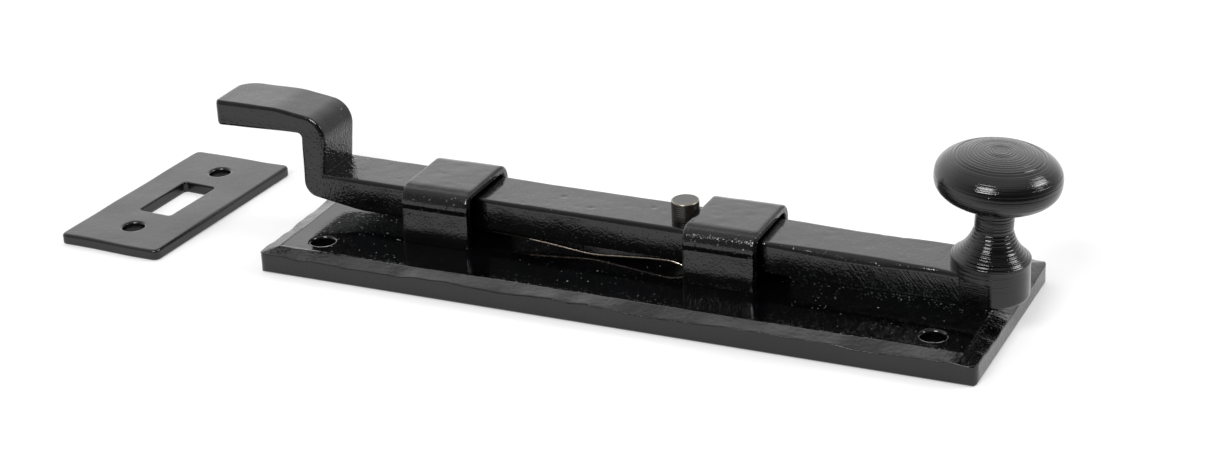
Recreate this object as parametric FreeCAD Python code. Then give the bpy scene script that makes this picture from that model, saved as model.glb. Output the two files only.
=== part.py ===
"""Cranked door bolt: a flat bar sliding in two staples on a bevelled backplate, and its loose keep plate.

Millimetres, +Z up. The origin is the centre of the backplate's underside: X runs along the bar towards
its knob, Y across the plate, Z away from the door. The bolt is drawn back, with its stop pin against
the right-hand staple, and lies slightly askew in its loose staples.
"""
import FreeCAD, Part
import math
import os

from FreeCAD import Vector

# Backplate: flat forged plate with a shallow bevel all round its face
PLATE_LENGTH = 203.2
PLATE_WIDTH = 63.5
PLATE_THICKNESS = 6.35
PLATE_CORNER = 1.2
BEVEL_INSET = 4.5
BEVEL_DROP = 1.05
SCREW_HOLE_X = 87.2
SCREW_HOLE_Y = 20.6
SCREW_HOLE_RADIUS = 3.2
HOLE_EASE = 0.6

# Bar: 16 x 9.5 flat bar, cranked up at its left end into the tip
BAR_WIDTH = 16.0
BAR_TOP = 19.05
BAR_THICKNESS = 9.525
BAR_BOTTOM = BAR_TOP - BAR_THICKNESS
BAR_EDGE = 1.2
TIP_END = -128.1
TIP_TOP = 37.15
TIP_BOTTOM = 29.45
TIP_FRONT_CORNER = 1.2
TIP_BACK_CORNER = 5.0
TIP_BULGE = 0.6
CRANK_OUTER = -100.9
CRANK_INNER = -92.9
CRANK_KNEE = 12.35
SHANK_BEND = -83.0
BAR_SKEW = 1.0
SKEW_PIVOT_X = 11.5

# Staples: flat strap bent over the bar, with a tenon on each leg riveted into the backplate
STAPLE_WIDTH = 20.0
STAPLE_STRAP = 2.5
STAPLE_SPAN = 25.4
STAPLE_TOP = 22.1
STAPLE_BEND = 4.6
STAPLE_CENTRES = {"left_staple": -56.2, "right_staple": 26.5}
TENON_WIDTH = 12.0
TENON_FIT = 0.05

# Stop pin: plain round pin through the bar, standing just clear of the right-hand staple
PIN_RADIUS = 3.75
PIN_TENON_RADIUS = 2.75
PIN_TOP = 24.2
PIN_GAP = 0.3
PIN_X = STAPLE_CENTRES["right_staple"] - STAPLE_WIDTH / 2 - PIN_GAP - PIN_RADIUS
PIN_EASE = 0.35

# Leaf spring riveted under the bar, bowed down until it bears on the plate
SPRING_WIDTH = 12.7
SPRING_THICKNESS = 0.7
SPRING_GAP = 0.3
SPRING_LEFT = -62.0
SPRING_FLAT_END = -50.0
SPRING_RIVET_X = STAPLE_CENTRES["left_staple"]
RIVET_RADIUS = 2.0
RIVET_HEAD_RADIUS = 3.6
RIVET_HEAD_HEIGHT = 1.3

# Knob: turned bun on a waisted neck, its spigot riveted through the round end of the bar
KNOB_X = 95.85
KNOB_LEAN = 4.1
KNOB_BASE_RADIUS = 10.05
KNOB_BASE_HEIGHT = 2.4
KNOB_FLARE_HEIGHT = 7.6
KNOB_NECK_RADIUS = 4.95
KNOB_HEAD_RADIUS = 16.0
KNOB_EQUATOR = 23.9
KNOB_DOME = 7.05
KNOB_UNDERCUT = 7.15
KNOB_FULLNESS = 2.5
KNOB_SPIGOT_RADIUS = 5.0

# Keep plate: loose slotted plate that the tip enters, its ends a little out of square
KEEP_LENGTH = 65.0
KEEP_WIDTH = 33.0
KEEP_THICKNESS = 3.1
KEEP_CENTRE = (-146.55, -2.5)
KEEP_TURN = 86.15
KEEP_OUT_OF_SQUARE = 1.95
KEEP_CORNER = 1.8
KEEP_EASE = 0.7
KEEP_SLOT_LENGTH = 21.8
KEEP_SLOT_WIDTH = 11.1
KEEP_SLOT_CORNER = 1.0
KEEP_HOLE_SPACING = 41.4
KEEP_HOLE_RADIUS = 3.0

# Points nearer than this count as one; cutters run past the faces they cut by the margin
TOUCHING = 1e-4
CUT_MARGIN = 1.0


def rounded_outline(corners, place):
    """Closed wire through corners (u, v, radius), each turned by an arc of its radius."""
    turns = []
    for index, (u, v, radius) in enumerate(corners):
        corner = Vector(u, v, 0)
        before = Vector(*corners[index - 1][:2], 0) - corner
        after = Vector(*corners[(index + 1) % len(corners)][:2], 0) - corner
        before.normalize()
        after.normalize()
        bisector = before + after
        bisector.normalize()
        half_angle = before.getAngle(after) / 2
        reach = radius / math.tan(half_angle)
        middle = corner + bisector * (radius / math.sin(half_angle) - radius)
        turns.append((corner + before * reach, middle, corner + after * reach))
    edges = []
    for index, (start, middle, end) in enumerate(turns):
        last_end = turns[index - 1][2]
        if last_end.distanceToPoint(start) > TOUCHING:
            edges.append(Part.LineSegment(place(last_end), place(start)).toShape())
        if start.distanceToPoint(end) > TOUCHING:
            edges.append(Part.Arc(place(start), place(middle), place(end)).toShape())
    return Part.Wire(edges)


def side_view(y):
    """Places outline points (u, v) at X = u, Z = v on the plane at this Y."""
    return lambda point: Vector(point.x, y, point.y)


def end_view(x):
    """Places outline points (u, v) at Y = u, Z = v on the plane at this X."""
    return lambda point: Vector(x, point.x, point.y)


def plan_view(z):
    """Places outline points (u, v) at X = u, Y = v on the plane at this Z."""
    return lambda point: Vector(point.x, point.y, z)


def prism(corners, place, direction):
    return Part.Face(rounded_outline(corners, place)).extrude(direction)


def rectangle(length, width, radius):
    """Corners of a rectangle centred on the origin."""
    x, y = length / 2, width / 2
    return [(-x, -y, radius), (x, -y, radius), (x, y, radius), (-x, y, radius)]


def cylinder(radius, x, y, bottom, top):
    return Part.makeCylinder(radius, top - bottom, Vector(x, y, bottom))


def cone(lower_radius, upper_radius, x, y, bottom, top):
    return Part.makeCone(lower_radius, upper_radius, top - bottom, Vector(x, y, bottom))


def eased_hole(radius, ease, x, y, top):
    """Cutter for a through hole from below Z = 0 to top, with its upper rim eased."""
    bore = cylinder(radius, x, y, -CUT_MARGIN, top + CUT_MARGIN)
    rim = cone(radius, radius + 2 * ease, x, y, top - ease, top + ease)
    return bore.fuse(rim)


def tenon_boxes(centre_x, fit):
    """The two tenons of a staple, through the backplate, grown by the fit all round."""
    boxes = []
    for side in (-1, 1):
        middle_y = side * (STAPLE_SPAN - STAPLE_STRAP) / 2
        length = TENON_WIDTH + 2 * fit
        width = STAPLE_STRAP + 2 * fit
        corner = Vector(centre_x - length / 2, middle_y - width / 2, 0)
        boxes.append(Part.makeBox(length, width, PLATE_THICKNESS, corner))
    return boxes


def backplate():
    edge_height = PLATE_THICKNESS - BEVEL_DROP
    outline = rectangle(PLATE_LENGTH, PLATE_WIDTH, PLATE_CORNER)
    slab = prism(outline, plan_view(0), Vector(0, 0, edge_height))
    foot = rounded_outline(outline, plan_view(edge_height))
    face_length = PLATE_LENGTH - 2 * BEVEL_INSET
    face_width = PLATE_WIDTH - 2 * BEVEL_INSET
    brow = rounded_outline(rectangle(face_length, face_width, PLATE_CORNER), plan_view(PLATE_THICKNESS))
    plate = slab.fuse(Part.makeLoft([foot, brow], True, True))
    for x in (-SCREW_HOLE_X, SCREW_HOLE_X):
        for y in (-SCREW_HOLE_Y, SCREW_HOLE_Y):
            plate = plate.cut(eased_hole(SCREW_HOLE_RADIUS, HOLE_EASE, x, y, PLATE_THICKNESS))
    for centre_x in STAPLE_CENTRES.values():
        for box in tenon_boxes(centre_x, TENON_FIT):
            plate = plate.cut(box)
    return plate.removeSplitter()


def staple(centre_x):
    outer = STAPLE_SPAN / 2
    inner = outer - STAPLE_STRAP
    under = STAPLE_TOP - STAPLE_STRAP
    inner_bend = STAPLE_BEND - STAPLE_STRAP
    corners = [
        (-outer, PLATE_THICKNESS, 0),
        (-outer, STAPLE_TOP, STAPLE_BEND),
        (outer, STAPLE_TOP, STAPLE_BEND),
        (outer, PLATE_THICKNESS, 0),
        (inner, PLATE_THICKNESS, 0),
        (inner, under, inner_bend),
        (-inner, under, inner_bend),
        (-inner, PLATE_THICKNESS, 0),
    ]
    strap = prism(corners, end_view(centre_x - STAPLE_WIDTH / 2), Vector(STAPLE_WIDTH, 0, 0))
    for box in tenon_boxes(centre_x, 0):
        strap = strap.fuse(box)
    return strap.removeSplitter()


def bar_side_outline():
    """Side view of the blank bar, round from the underside of its knob end."""
    blank_end = KNOB_X + KNOB_BASE_RADIUS + CUT_MARGIN
    return [
        (blank_end, BAR_BOTTOM, 0),
        (SHANK_BEND, BAR_BOTTOM, 50.0),
        (CRANK_OUTER, CRANK_KNEE, 4.2),
        (CRANK_OUTER + 0.5, TIP_BOTTOM + 1.0, 1.2),
        (TIP_END, TIP_BOTTOM, 1.6),
        (TIP_END, TIP_TOP, 1.2),
        (CRANK_OUTER - 5.7, TIP_TOP, 60.0),
        (CRANK_INNER + 0.6, TIP_TOP - 1.5, 4.4),
        (CRANK_INNER - 1.1, BAR_TOP, 1.6),
        (blank_end, BAR_TOP, 0),
    ]


def bar_plan():
    """Plan of the bar: softly rounded tip, straight sides, and a round end under the knob."""
    side = BAR_WIDTH / 2
    run = math.sqrt(KNOB_BASE_RADIUS ** 2 - side ** 2)
    front_end = Vector(KNOB_X + run, -side, 0)
    back_end = Vector(KNOB_X + run, side, 0)
    round_end = Vector(KNOB_X + KNOB_BASE_RADIUS, 0, 0)
    shoulder = TIP_END + TIP_BULGE
    tip_front = Vector(shoulder, -side + TIP_FRONT_CORNER, 0)
    tip_back = Vector(shoulder, side - TIP_BACK_CORNER, 0)
    front_start = Vector(shoulder + TIP_FRONT_CORNER, -side, 0)
    back_start = Vector(shoulder + TIP_BACK_CORNER, side, 0)
    diagonal = 1 - math.sqrt(0.5)
    front_middle = Vector(shoulder, -side, 0) + Vector(1, 1, 0) * TIP_FRONT_CORNER * diagonal
    back_middle = Vector(shoulder, side, 0) + Vector(1, -1, 0) * TIP_BACK_CORNER * diagonal
    edges = [
        Part.Arc(tip_front, front_middle, front_start).toShape(),
        Part.LineSegment(front_start, front_end).toShape(),
        Part.Arc(front_end, round_end, back_end).toShape(),
        Part.LineSegment(back_end, back_start).toShape(),
        Part.Arc(back_start, back_middle, tip_back).toShape(),
        Part.Arc(tip_back, Vector(TIP_END, 0, 0), tip_front).toShape(),
    ]
    return Part.Wire(edges)


def long_side_edges(shape):
    """Edges round the bar's two flat sides, apart from the square ends of the blank."""
    chosen = []
    for edge in shape.Edges:
        box = edge.BoundBox
        on_side = box.YLength < TOUCHING
        knob_end = box.XMin > KNOB_X
        underside = box.ZMax < BAR_BOTTOM + TOUCHING
        if on_side and not knob_end and not underside:
            chosen.append(edge)
    return chosen


def bolt_bar():
    blank = prism(bar_side_outline(), side_view(-BAR_WIDTH / 2), Vector(0, BAR_WIDTH, 0))
    blank = blank.makeChamfer(BAR_EDGE, long_side_edges(blank))
    plan = Part.Face(bar_plan()).extrude(Vector(0, 0, TIP_TOP + CUT_MARGIN))
    bar = blank.common(plan)
    bar = bar.cut(cylinder(PIN_TENON_RADIUS, PIN_X, 0, 0, BAR_TOP + CUT_MARGIN))
    bar = bar.cut(cylinder(RIVET_RADIUS, SPRING_RIVET_X, 0, 0, BAR_TOP + CUT_MARGIN))
    sink = cone(RIVET_RADIUS, RIVET_HEAD_RADIUS, SPRING_RIVET_X, 0, BAR_TOP - RIVET_HEAD_HEIGHT, BAR_TOP)
    bar = bar.cut(sink)
    bar = bar.cut(cylinder(KNOB_SPIGOT_RADIUS, KNOB_X, 0, 0, BAR_TOP + CUT_MARGIN))
    return bar.removeSplitter()


def stop_pin():
    body = cylinder(PIN_RADIUS, PIN_X, 0, BAR_TOP, PIN_TOP)
    rim = [edge for edge in body.Edges if edge.BoundBox.ZMin > PIN_TOP - TOUCHING]
    body = body.makeChamfer(PIN_EASE, rim)
    return body.fuse(cylinder(PIN_TENON_RADIUS, PIN_X, 0, BAR_BOTTOM, BAR_TOP)).removeSplitter()


def spring_curve(offset):
    """Edge of the bowed stretch of the strip, this far above its middle line."""
    flat = BAR_BOTTOM - SPRING_THICKNESS / 2
    belly = PLATE_THICKNESS + SPRING_GAP + SPRING_THICKNESS / 2
    middle_line = [
        (SPRING_FLAT_END, flat),
        (-42.0, flat - 0.15),
        (-33.0, flat - 0.55),
        (-24.0, belly + 0.95),
        (-12.5, belly),
        (-3.0, belly + 0.75),
        (6.0, belly + 1.5),
        (11.0, belly + 1.55),
        (14.5, belly + 0.7),
    ]
    points = [Vector(x, -SPRING_WIDTH / 2, z + offset) for x, z in middle_line]
    spline = Part.BSplineCurve()
    spline.interpolate(points, InitialTangent=Vector(8, 0, 0), FinalTangent=Vector(3, 0, -1.6))
    return spline.toShape()


def leaf_spring():
    """Strip flat against the bar at its rivet, bellied down to the plate, its free end turned over."""
    upper = spring_curve(SPRING_THICKNESS / 2)
    lower = spring_curve(-SPRING_THICKNESS / 2)
    upper_start, upper_end = upper.Vertexes[0].Point, upper.Vertexes[1].Point
    lower_start, lower_end = lower.Vertexes[0].Point, lower.Vertexes[1].Point
    upper_left = Vector(SPRING_LEFT, upper_start.y, upper_start.z)
    lower_left = Vector(SPRING_LEFT, lower_start.y, lower_start.z)
    edges = [
        Part.LineSegment(upper_left, upper_start).toShape(),
        upper,
        Part.LineSegment(upper_end, lower_end).toShape(),
        lower,
        Part.LineSegment(lower_start, lower_left).toShape(),
        Part.LineSegment(lower_left, upper_left).toShape(),
    ]
    strip = Part.Face(Part.Wire(edges)).extrude(Vector(0, SPRING_WIDTH, 0))
    return strip.cut(cylinder(RIVET_RADIUS, SPRING_RIVET_X, 0, 0, BAR_TOP))


def spring_rivet():
    x, large = SPRING_RIVET_X, RIVET_HEAD_RADIUS
    strip_under = BAR_BOTTOM - SPRING_THICKNESS
    shank = cylinder(RIVET_RADIUS, x, 0, strip_under, BAR_TOP)
    sunk_head = cone(RIVET_RADIUS, large, x, 0, BAR_TOP - RIVET_HEAD_HEIGHT, BAR_TOP)
    foot = cone(0.75 * large, large, x, 0, strip_under - RIVET_HEAD_HEIGHT, strip_under)
    return shank.fuse(sunk_head).fuse(foot).removeSplitter()


def bun_arc(half_height, centre_z, first_angle, last_angle):
    """Part of the knob head's outline in the XZ plane: an ellipse made fuller towards its rim."""
    steps = 10
    power = 2 / KNOB_FULLNESS
    points = []
    for step in range(steps + 1):
        angle = math.radians(first_angle + (last_angle - first_angle) * step / steps)
        across = max(math.cos(angle), 0.0) ** power
        up = math.copysign(abs(math.sin(angle)) ** power, angle)
        points.append(Vector(KNOB_HEAD_RADIUS * across, 0, centre_z + half_height * up))
    spline = Part.BSplineCurve()
    spline.interpolate(points)
    return spline.toShape()


def knob():
    """Turned about its own axis with Z = 0 at the bar's top face, leaned, then set on the bar."""
    tuck = 2 * KNOB_BASE_RADIUS * math.sin(math.radians(KNOB_LEAN))
    root = Vector(0, 0, -tuck)
    root_rim = Vector(KNOB_BASE_RADIUS, 0, -tuck)
    base_rim = Vector(KNOB_BASE_RADIUS, 0, KNOB_BASE_HEIGHT)
    flare_middle = Vector(KNOB_NECK_RADIUS + 1.85, 0, KNOB_BASE_HEIGHT + 0.44 * KNOB_FLARE_HEIGHT)
    neck_foot = Vector(KNOB_NECK_RADIUS, 0, KNOB_BASE_HEIGHT + KNOB_FLARE_HEIGHT)
    neck_head = Vector(KNOB_NECK_RADIUS, 0, KNOB_EQUATOR - KNOB_UNDERCUT - 0.8)
    join_radius = KNOB_NECK_RADIUS + 0.9
    join_angle = math.acos((join_radius / KNOB_HEAD_RADIUS) ** (KNOB_FULLNESS / 2))
    join_depth = KNOB_UNDERCUT * math.sin(join_angle) ** (2 / KNOB_FULLNESS)
    underside = Vector(join_radius, 0, KNOB_EQUATOR - join_depth)
    crown = Vector(0, 0, KNOB_EQUATOR + KNOB_DOME)
    outline = [
        Part.LineSegment(root, root_rim).toShape(),
        Part.LineSegment(root_rim, base_rim).toShape(),
        Part.Arc(base_rim, flare_middle, neck_foot).toShape(),
        Part.LineSegment(neck_foot, neck_head).toShape(),
        Part.LineSegment(neck_head, underside).toShape(),
        bun_arc(KNOB_UNDERCUT, KNOB_EQUATOR, -math.degrees(join_angle), 0),
        bun_arc(KNOB_DOME, KNOB_EQUATOR, 0, 90),
        Part.LineSegment(crown, root).toShape(),
    ]
    turned = Part.Face(Part.Wire(outline)).revolve(Vector(0, 0, 0), Vector(0, 0, 1), 360)
    turned.rotate(Vector(0, 0, 0), Vector(0, 1, 0), KNOB_LEAN)
    reach = 2 * KNOB_BASE_RADIUS
    below_bar_top = Part.makeBox(2 * reach, 2 * reach, reach, Vector(-reach, -reach, -reach))
    turned = turned.cut(below_bar_top)
    turned.translate(Vector(KNOB_X, 0, BAR_TOP))
    spigot = cylinder(KNOB_SPIGOT_RADIUS, KNOB_X, 0, BAR_BOTTOM, BAR_TOP + CUT_MARGIN)
    return turned.fuse(spigot).removeSplitter()


def keep_plate():
    slant = math.tan(math.radians(KEEP_OUT_OF_SQUARE))
    square = rectangle(KEEP_LENGTH, KEEP_WIDTH, KEEP_CORNER)
    outline = [(x - y * slant, y, radius) for x, y, radius in square]
    plate = prism(outline, plan_view(0), Vector(0, 0, KEEP_THICKNESS))
    rim = [edge for edge in plate.Edges if edge.BoundBox.ZMin > KEEP_THICKNESS - TOUCHING]
    plate = plate.makeFillet(KEEP_EASE, rim)
    slot_outline = rectangle(KEEP_SLOT_LENGTH, KEEP_SLOT_WIDTH, KEEP_SLOT_CORNER)
    slot_depth = Vector(0, 0, KEEP_THICKNESS + 2 * CUT_MARGIN)
    plate = plate.cut(prism(slot_outline, plan_view(-CUT_MARGIN), slot_depth))
    for x in (-KEEP_HOLE_SPACING / 2, KEEP_HOLE_SPACING / 2):
        plate = plate.cut(eased_hole(KEEP_HOLE_RADIUS, HOLE_EASE, x, 0, KEEP_THICKNESS))
    plate.rotate(Vector(0, 0, 0), Vector(0, 0, 1), KEEP_TURN)
    plate.translate(Vector(*KEEP_CENTRE, 0))
    return plate


def lay(shape):
    """Turns a piece of the bolt to the way the bar lies askew in its loose staples."""
    shape.rotate(Vector(SKEW_PIVOT_X, 0, 0), Vector(0, 0, 1), -BAR_SKEW)
    return shape


def check_and_save(name, shape):
    solids = shape.Solids
    print(name, "valid", shape.isValid(), "solids", len(solids), "volume", round(shape.Volume, 1))
    solids[0].exportStep("parts/" + name + ".step")


os.makedirs("parts", exist_ok=True)
check_and_save("backplate", backplate())
for staple_name, staple_x in STAPLE_CENTRES.items():
    check_and_save(staple_name, staple(staple_x))
check_and_save("bolt_bar", lay(bolt_bar()))
check_and_save("stop_pin", lay(stop_pin()))
check_and_save("leaf_spring", lay(leaf_spring()))
check_and_save("spring_rivet", lay(spring_rivet()))
check_and_save("knob", lay(knob()))
check_and_save("keep_plate", keep_plate())
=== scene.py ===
"""Looks of the cranked door bolt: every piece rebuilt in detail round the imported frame.

Shapes are worked out in millimetres in the row frame and turned into metres when a mesh is made.
Pieces of the bolt are made straight and then laid at the small angle the bar has in its staples.
"""

import math

import bpy
import numpy as np
from mathutils import Matrix, Vector, noise


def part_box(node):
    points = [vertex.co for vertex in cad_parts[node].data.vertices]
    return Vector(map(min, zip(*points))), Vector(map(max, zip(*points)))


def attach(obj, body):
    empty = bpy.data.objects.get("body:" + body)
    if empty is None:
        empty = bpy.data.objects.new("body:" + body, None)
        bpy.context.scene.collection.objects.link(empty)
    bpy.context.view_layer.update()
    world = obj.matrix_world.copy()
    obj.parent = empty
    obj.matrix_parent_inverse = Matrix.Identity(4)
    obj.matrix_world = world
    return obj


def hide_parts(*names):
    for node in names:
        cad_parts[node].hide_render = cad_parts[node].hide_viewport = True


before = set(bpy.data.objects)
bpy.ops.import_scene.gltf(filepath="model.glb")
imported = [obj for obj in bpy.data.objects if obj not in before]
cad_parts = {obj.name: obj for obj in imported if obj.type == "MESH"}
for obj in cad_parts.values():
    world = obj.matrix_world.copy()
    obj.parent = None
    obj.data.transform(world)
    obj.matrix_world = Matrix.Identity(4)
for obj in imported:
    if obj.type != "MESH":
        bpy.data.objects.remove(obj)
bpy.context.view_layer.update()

MM = 0.001


def box_mm(node):
    low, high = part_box(node)
    return np.array(low) / MM, np.array(high) / MM


_, PLATE_HIGH = box_mm("backplate")
BAR_LOW, BAR_HIGH = box_mm("bolt_bar")
PIN_LOW, PIN_HIGH = box_mm("stop_pin")
KEEP_LOW, KEEP_HIGH = box_mm("keep_plate")
STAPLE_NAMES = ("left_staple", "right_staple")

PLATE_TOP = PLATE_HIGH[2]
PLATE_CORNER = 2.3
BEVEL_INSET = 4.5
BEVEL_DROP = 1.05
SCREW_HOLE_X = 87.2
SCREW_HOLE_Y = 20.6
SCREW_HOLE_RADIUS = 3.2
HOLE_EASE = 0.6

# The bar in its own straight space, before it is laid askew
BAR_SIDE = 8.0
BAR_TOP = 19.05
BAR_BOTTOM = BAR_LOW[2]
TIP_TOP = BAR_HIGH[2]
TIP_END = -128.1
TIP_BOTTOM = 29.45
CRANK_OUTER = -100.9
CRANK_INNER = -92.9
CRANK_KNEE = 12.35
SHANK_BEND = -83.0
BAR_SKEW = math.radians(1.0)
SKEW_PIVOT_X = 11.5

KNOB_X = 95.85
SKEW_OFFSET = -(KNOB_X - SKEW_PIVOT_X) * math.sin(BAR_SKEW)
KNOB_LEAN = math.radians(4.1)
KNOB_BASE_RADIUS = 10.05
KNOB_HEAD_RADIUS = 16.0
KNOB_NECK_RADIUS = 4.95
KNOB_EQUATOR = 23.9
KNOB_DOME = 7.05
KNOB_UNDERCUT = 7.15
KNOB_BASE_HEIGHT = 2.4
KNOB_FLARE_HEIGHT = 7.6
KNOB_FULLNESS = 2.5
ROUND_END_BOTTOM = 10.5

STAPLE_STRAP = 2.5
STAPLE_BEND = 4.6
TENON_WIDTH = 12.0
STRAP_SINK = 0.5

SPRING_WIDTH = 12.7
SPRING_THICKNESS = 0.7
SPRING_GAP = 0.3
SPRING_LEFT = -62.0
# Where the bright band on the spring's edge starts; left of it, close under the bar, the edge keeps the dark
# blued steel
SPRING_BRIGHT_EDGE_FROM = -31.5
RIVET_X = -56.2
RIVET_HEAD_RADIUS = 3.6
RIVET_HEAD_HEIGHT = 1.3

KEEP_LENGTH = 65.0
KEEP_WIDTH = 33.0
KEEP_TURN = math.radians(86.15)
KEEP_OUT_OF_SQUARE = math.radians(1.95)
KEEP_CORNER = 1.8
KEEP_SLOT = (21.8, 11.1)
KEEP_HOLE_SPACING = 41.4
KEEP_HOLE_RADIUS = 3.0

BLACK = (0.0007, 0.0007, 0.0009)
WHITE = (1.0, 1.0, 1.0, 1.0)


# ---------------------------------------------------------------- making meshes

def swell(points, wavelength, seed):
    """Smooth random value, about -1 to 1, at each point, turning over about once a wavelength."""
    shift = Vector((17.31 * seed, 5.17 * seed, 9.73 * seed))
    return np.array([noise.noise(Vector(point) / wavelength + shift) for point in points])


def swell_along(values, wavelength, seed):
    """The same along one line."""
    return swell([(value, 0.0, 0.0) for value in values], wavelength, seed)


def make_piece(name, points, faces, body, nodes, material):
    """A smooth-shaded mesh object from points in millimetres, riding its body."""
    mesh = bpy.data.meshes.new(name)
    mesh.from_pydata((np.asarray(points) * MM).tolist(), [], faces)
    mesh.validate()
    mesh.update()
    piece = bpy.data.objects.new(name, mesh)
    bpy.context.scene.collection.objects.link(piece)
    mesh.materials.append(material)
    mesh.shade_smooth()
    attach(piece, body)
    if nodes:
        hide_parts(*nodes)
    return piece


def weather(piece, layers, seed, dents=(), where=None):
    """Moves each vertex along its normal: layers are (wavelength, height), dents are
    (x, y, z, radius, depth), all in millimetres. where(points) scales the layers."""
    mesh = piece.data
    count = len(mesh.vertices)
    flat = np.zeros(count * 3)
    mesh.vertices.foreach_get("co", flat)
    points = flat.reshape(-1, 3) / MM
    mesh.vertices.foreach_get("normal", flat)
    normals = flat.reshape(-1, 3).copy()
    lift = np.zeros(count)
    for index, (wavelength, height) in enumerate(layers):
        lift += height * swell(points, wavelength, seed + index)
    if where is not None:
        lift *= where(points)
    for x, y, z, radius, depth in dents:
        near = 1 - ((points - (x, y, z)) ** 2).sum(1) / radius ** 2
        lift -= depth * np.clip(near, 0, 1) ** 2
    points += normals * lift[:, None]
    mesh.vertices.foreach_set("co", (points * MM).ravel())
    mesh.update()


def pairs(loop):
    """Each member of a closed loop with the next one."""
    return zip(loop, [*loop[1:], loop[0]])


def band(near, far):
    """Quads between two closed loops of point numbers."""
    return [(a, b, d, c) for (a, b), (c, d) in zip(pairs(near), pairs(far))]


def loft(rings, flipped=False):
    """Points and faces of a skin over closed rings of equal size; a ring of one point closes an end."""
    points, loops, faces = [], [], []
    for ring in rings:
        loops.append(range(len(points), len(points) + len(ring)))
        points.extend(ring)
    for near, far in zip(loops, loops[1:]):
        if len(near) == 1:
            faces += [(near[0], b, a) for a, b in pairs(far)]
        elif len(far) == 1:
            faces += [(a, b, far[0]) for a, b in pairs(near)]
        else:
            faces += band(near, far)
    if flipped:
        faces = [tuple(reversed(face)) for face in faces]
    return np.array(points), faces


def capped(rings):
    """The rings with a middle point to close each end."""
    return [[tuple(np.mean(rings[0], axis=0))]] + rings + [[tuple(np.mean(rings[-1], axis=0))]]


def paint(piece, points, material, chosen):
    """Gives a second material to the faces whose middle passes the test chosen(x, y, z)."""
    piece.data.materials.append(material)
    for face in piece.data.polygons:
        if chosen(*np.mean([points[k] for k in face.vertices], axis=0)):
            face.material_index = 1


def scattered_dents(seed, count, along, across, height, radii, depths):
    """Random dents for weather(): all but the height are (least, most)."""
    draw = np.random.RandomState(seed).uniform
    return [(draw(*along), draw(*across), height, draw(*radii), draw(*depths)) for _ in range(count)]


def path(corners, counts):
    """Points along a line through corners (u, v, radius), each turned by an arc of its radius. counts
    are the steps of each straight stretch and each turn in order; the two end corners have no turn."""
    knots = [np.array(corner[:2], float) for corner in corners]
    counts = iter(counts)
    points = [knots[0]]

    def run_to(end):
        start, steps = points[-1], next(counts)
        points.extend([start + (end - start) * k / steps for k in range(1, steps + 1)])

    for index in range(1, len(corners) - 1):
        knot, radius = knots[index], corners[index][2]
        back, ahead = knots[index - 1] - knot, knots[index + 1] - knot
        back, ahead = back / np.linalg.norm(back), ahead / np.linalg.norm(ahead)
        half = math.acos(max(-1.0, min(1.0, float(back @ ahead)))) / 2
        if half > math.pi / 2 - 1e-4:
            run_to(knot + back)
            run_to(knot + ahead)
            continue
        reach = radius / math.tan(half)
        run_to(knot + back * reach)
        bisector = (back + ahead) / np.linalg.norm(back + ahead)
        centre = knot + bisector * radius / math.sin(half)
        u, v = points[-1] - centre
        end_u, end_v = knot + ahead * reach - centre
        sweep = math.copysign(math.pi - 2 * half, u * end_v - v * end_u)
        steps = next(counts)
        for k in range(1, steps + 1):
            c, s = math.cos(sweep * k / steps), math.sin(sweep * k / steps)
            points.append(centre + (u * c - v * s, u * s + v * c))
    run_to(knots[-1])
    return np.array(points)


def rounded_ring(low, high, depth, radius, steps_across, steps_up):
    """Section of a strap: (across, up) points round a rectangle from low to high across and
    0 to depth up, with rounded corners."""
    start = (low + radius, 0, 0)
    turns = [(low, 0, radius), (low, depth, radius), (high, depth, radius), (high, 0, radius)]
    corners = [start, *turns, start]
    return path(corners, (1, 4, steps_up, 4, steps_across, 4, steps_up, 4, steps_across))[1:-1]


def lay(points):
    """Turns bolt points from the bar's own space to the way it lies in its staples."""
    points = np.asarray(points, float)
    c, s = math.cos(-BAR_SKEW), math.sin(-BAR_SKEW)
    x, y = points[:, 0] - SKEW_PIVOT_X, points[:, 1]
    return np.stack([SKEW_PIVOT_X + x * c - y * s, x * s + y * c, points[:, 2]], 1)


def turned(profile, segments):
    """Rings of a turned shape about Z from (radius, height) points."""
    angles = np.arange(segments) * 2 * math.pi / segments
    circle = np.stack([np.cos(angles), np.sin(angles), np.zeros(segments)], 1)
    return [
        [(0.0, 0.0, height)] if radius < 1e-6 else (circle * radius + (0.0, 0.0, height)).tolist()
        for radius, height in profile
    ]


def ripple(value, pitch):
    """Wave of a turning tool's rings along a radius or a height."""
    return np.sin(value * 2 * math.pi / pitch)


# ---------------------------------------------------------------- flat plates with openings

def mirrored(values):
    """The values on both sides of zero, with zero between."""
    return sorted(values + [0.0] + [-value for value in values])


def spaced(breaks, step):
    """Grid lines through the breaks with no gap wider than the step."""
    lines = [breaks[0]]
    for start, end in zip(breaks[:-1], breaks[1:]):
        count = max(1, math.ceil((end - start) / step - 1e-6))
        lines += [start + (end - start) * k / count for k in range(1, count + 1)]
    return np.array(lines)


def round_corners(plan, half, corner):
    """Draws plan points in so that the corners of a rectangle become round."""
    inner = np.array(half) - corner
    beyond = np.maximum(np.abs(plan) - inner, 0)
    length = np.linalg.norm(beyond, axis=-1)
    squeeze = np.where(length > 1e-9, beyond.max(-1) / np.maximum(length, 1e-9), 1.0)
    return np.sign(plan) * (np.minimum(np.abs(plan), inner) + beyond * squeeze[..., None])


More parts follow.
